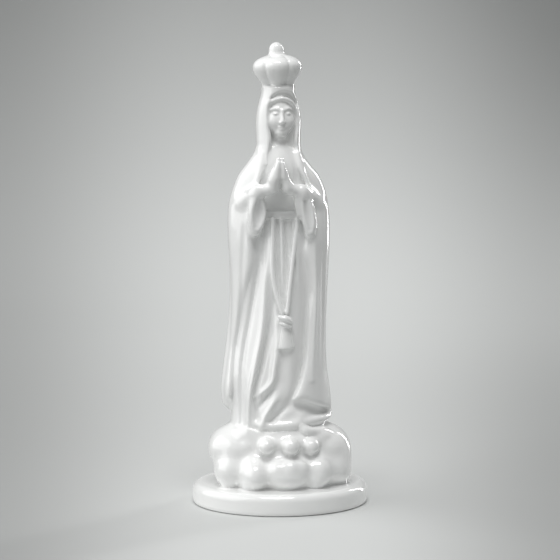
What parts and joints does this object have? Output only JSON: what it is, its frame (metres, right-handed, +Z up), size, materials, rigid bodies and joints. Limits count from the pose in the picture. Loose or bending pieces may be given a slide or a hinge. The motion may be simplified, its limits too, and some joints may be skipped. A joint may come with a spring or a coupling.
{
  "type": "madonna statuette",
  "caption": "Free-standing glazed ceramic figure of a praying Madonna in veil, mantle and closed crown, on a bank of clouds over an oval plinth.",
  "frame": {"origin": "middle of the plinth's underside, on the surface the figure stands on", "axes": "+Z up along the figure, the figure faces -Y, +X is to the right of someone who looks at its face"},
  "size_m": [0.084, 0.076, 0.22],
  "materials": {
    "glaze": "high-gloss clear glaze over a white body"
  },
  "bodies": {
    "root": {"plinth": "glaze", "cloud_bank": "glaze", "cloud_high_left": "glaze", "cloud_high_right": "glaze", "cloud_low_left": "glaze", "cloud_front_left": "glaze", "cloud_front_middle": "glaze", "cloud_front_right": "glaze", "cloud_low_right": "glaze", "cloud_back_left": "glaze", "cloud_back_right": "glaze", "cloud_small_puffs": "glaze", "robe": "glaze", "hem_fold": "glaze", "bodice": "glaze", "belt": "glaze", "cord": "glaze", "cord_knot": "glaze", "tassel": "glaze", "mantle": "glaze", "sleeve_left": "glaze", "sleeve_right": "glaze", "hand_left": "glaze", "hand_right": "glaze", "head": "glaze", "under_veil": "glaze", "veil": "glaze", "crown_band": "glaze", "crown_cap": "glaze", "crown_lobes": "glaze", "crown_knob": "glaze"}
  },
  "joints": []
}
